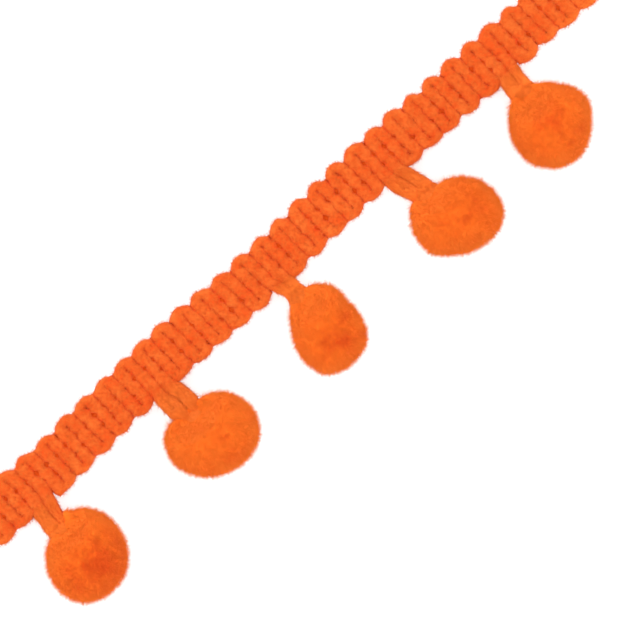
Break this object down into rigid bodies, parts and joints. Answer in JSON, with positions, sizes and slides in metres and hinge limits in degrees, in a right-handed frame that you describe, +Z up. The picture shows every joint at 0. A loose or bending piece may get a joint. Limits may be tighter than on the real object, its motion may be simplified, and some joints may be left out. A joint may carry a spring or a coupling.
{
  "type": "pompom fringe trim",
  "caption": "Flat length of scalloped, crochet-knitted yarn heading with round brushed pompoms along one edge, each hanging from a short pair of yarns.",
  "frame": {"origin": "middle of the heading's underside, where the trim lies on its surface", "axes": "+X along the heading, pompoms towards -Y, +Z up from the surface that the trim lies on"},
  "size_m": [0.0941, 0.0183, 0.0094],
  "materials": {
    "heading_yarn": "thick brushed acrylic yarn in back-and-forth bars, soft and matt, orange",
    "hanger_yarn": "pair of brushed acrylic yarns, matt, orange",
    "pompom_pile": "dense short cut pile with a fine fuzzy halo, matt, warm orange"
  },
  "bodies": {
    "root": {"heading": "heading_yarn", "hanger_1": "hanger_yarn", "hanger_2": "hanger_yarn", "hanger_3": "hanger_yarn", "hanger_4": "hanger_yarn", "hanger_5": "hanger_yarn", "pompom_1": "pompom_pile", "pompom_2": "pompom_pile", "pompom_3": "pompom_pile", "pompom_4": "pompom_pile", "pompom_5": "pompom_pile"}
  },
  "joints": []
}
